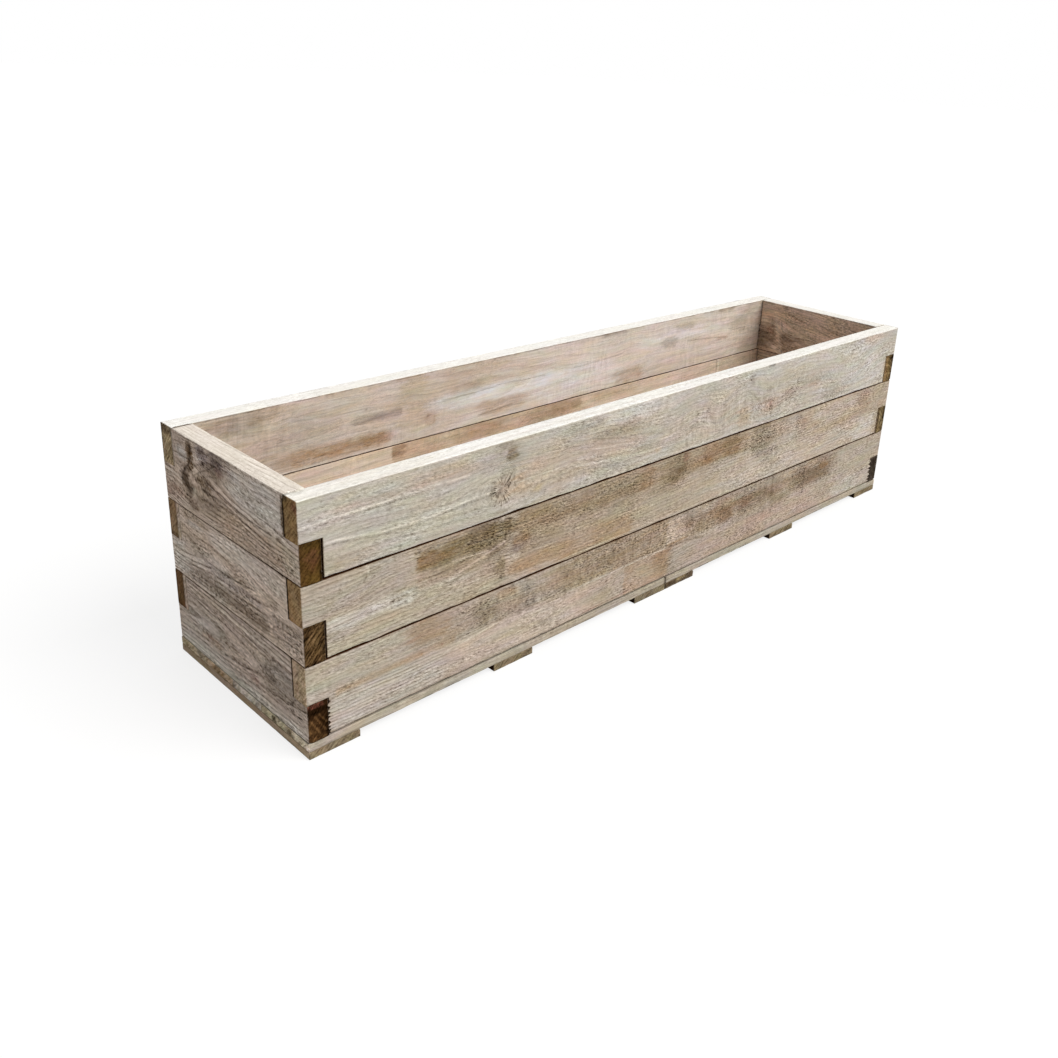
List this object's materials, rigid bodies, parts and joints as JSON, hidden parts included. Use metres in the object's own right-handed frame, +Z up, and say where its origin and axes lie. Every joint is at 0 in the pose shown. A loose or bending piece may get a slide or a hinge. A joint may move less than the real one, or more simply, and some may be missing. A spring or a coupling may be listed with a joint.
{
  "type": "trough raised bed",
  "caption": "Long, narrow timber planting trough: stacked sawn boards lapped at the corners, open at the top, on a slatted deck with cross bearers.",
  "frame": {"origin": "middle of the footprint at ground level, under the bearers", "axes": "+Z up, +X along the length towards the right end, -Y towards the front face"},
  "size_m": [1.8, 0.45, 0.466],
  "materials": {
    "long_board": "rough sawn, pressure treated, weathered pale",
    "end_board": "rough sawn, pressure treated, weathered grey-brown",
    "floor_board": "rough sawn, pressure treated",
    "bearer": "rough sawn, pressure treated, olive-brown end grain",
    "screw": "zinc plated",
    "nail": "galvanised"
  },
  "bodies": {
    "root": {"front_board_bottom": "long_board", "front_board_middle": "long_board", "front_board_top": "long_board", "back_board_bottom": "long_board", "back_board_middle": "long_board", "back_board_top": "long_board", "left_end_board_bottom": "end_board", "left_end_board_middle": "end_board", "left_end_board_top": "end_board", "right_end_board_bottom": "end_board", "right_end_board_middle": "end_board", "right_end_board_top": "end_board", "left_floor_board_1": "floor_board", "left_floor_board_2": "floor_board", "left_floor_board_3": "floor_board", "left_floor_board_4": "floor_board", "left_floor_board_5": "floor_board", "right_floor_board_1": "floor_board", "right_floor_board_2": "floor_board", "right_floor_board_3": "floor_board", "right_floor_board_4": "floor_board", "right_floor_board_5": "floor_board", "left_end_bearer": "bearer", "left_middle_bearer": "bearer", "left_joint_bearer": "bearer", "right_joint_bearer": "bearer", "right_middle_bearer": "bearer", "right_end_bearer": "bearer", "corner_screws_bottom": "screw", "corner_screws_middle": "screw", "corner_screws_top": "screw", "left_base_screws": "screw", "right_base_screws": "screw", "left_floor_nails": "nail", "right_floor_nails": "nail"}
  },
  "joints": []
}
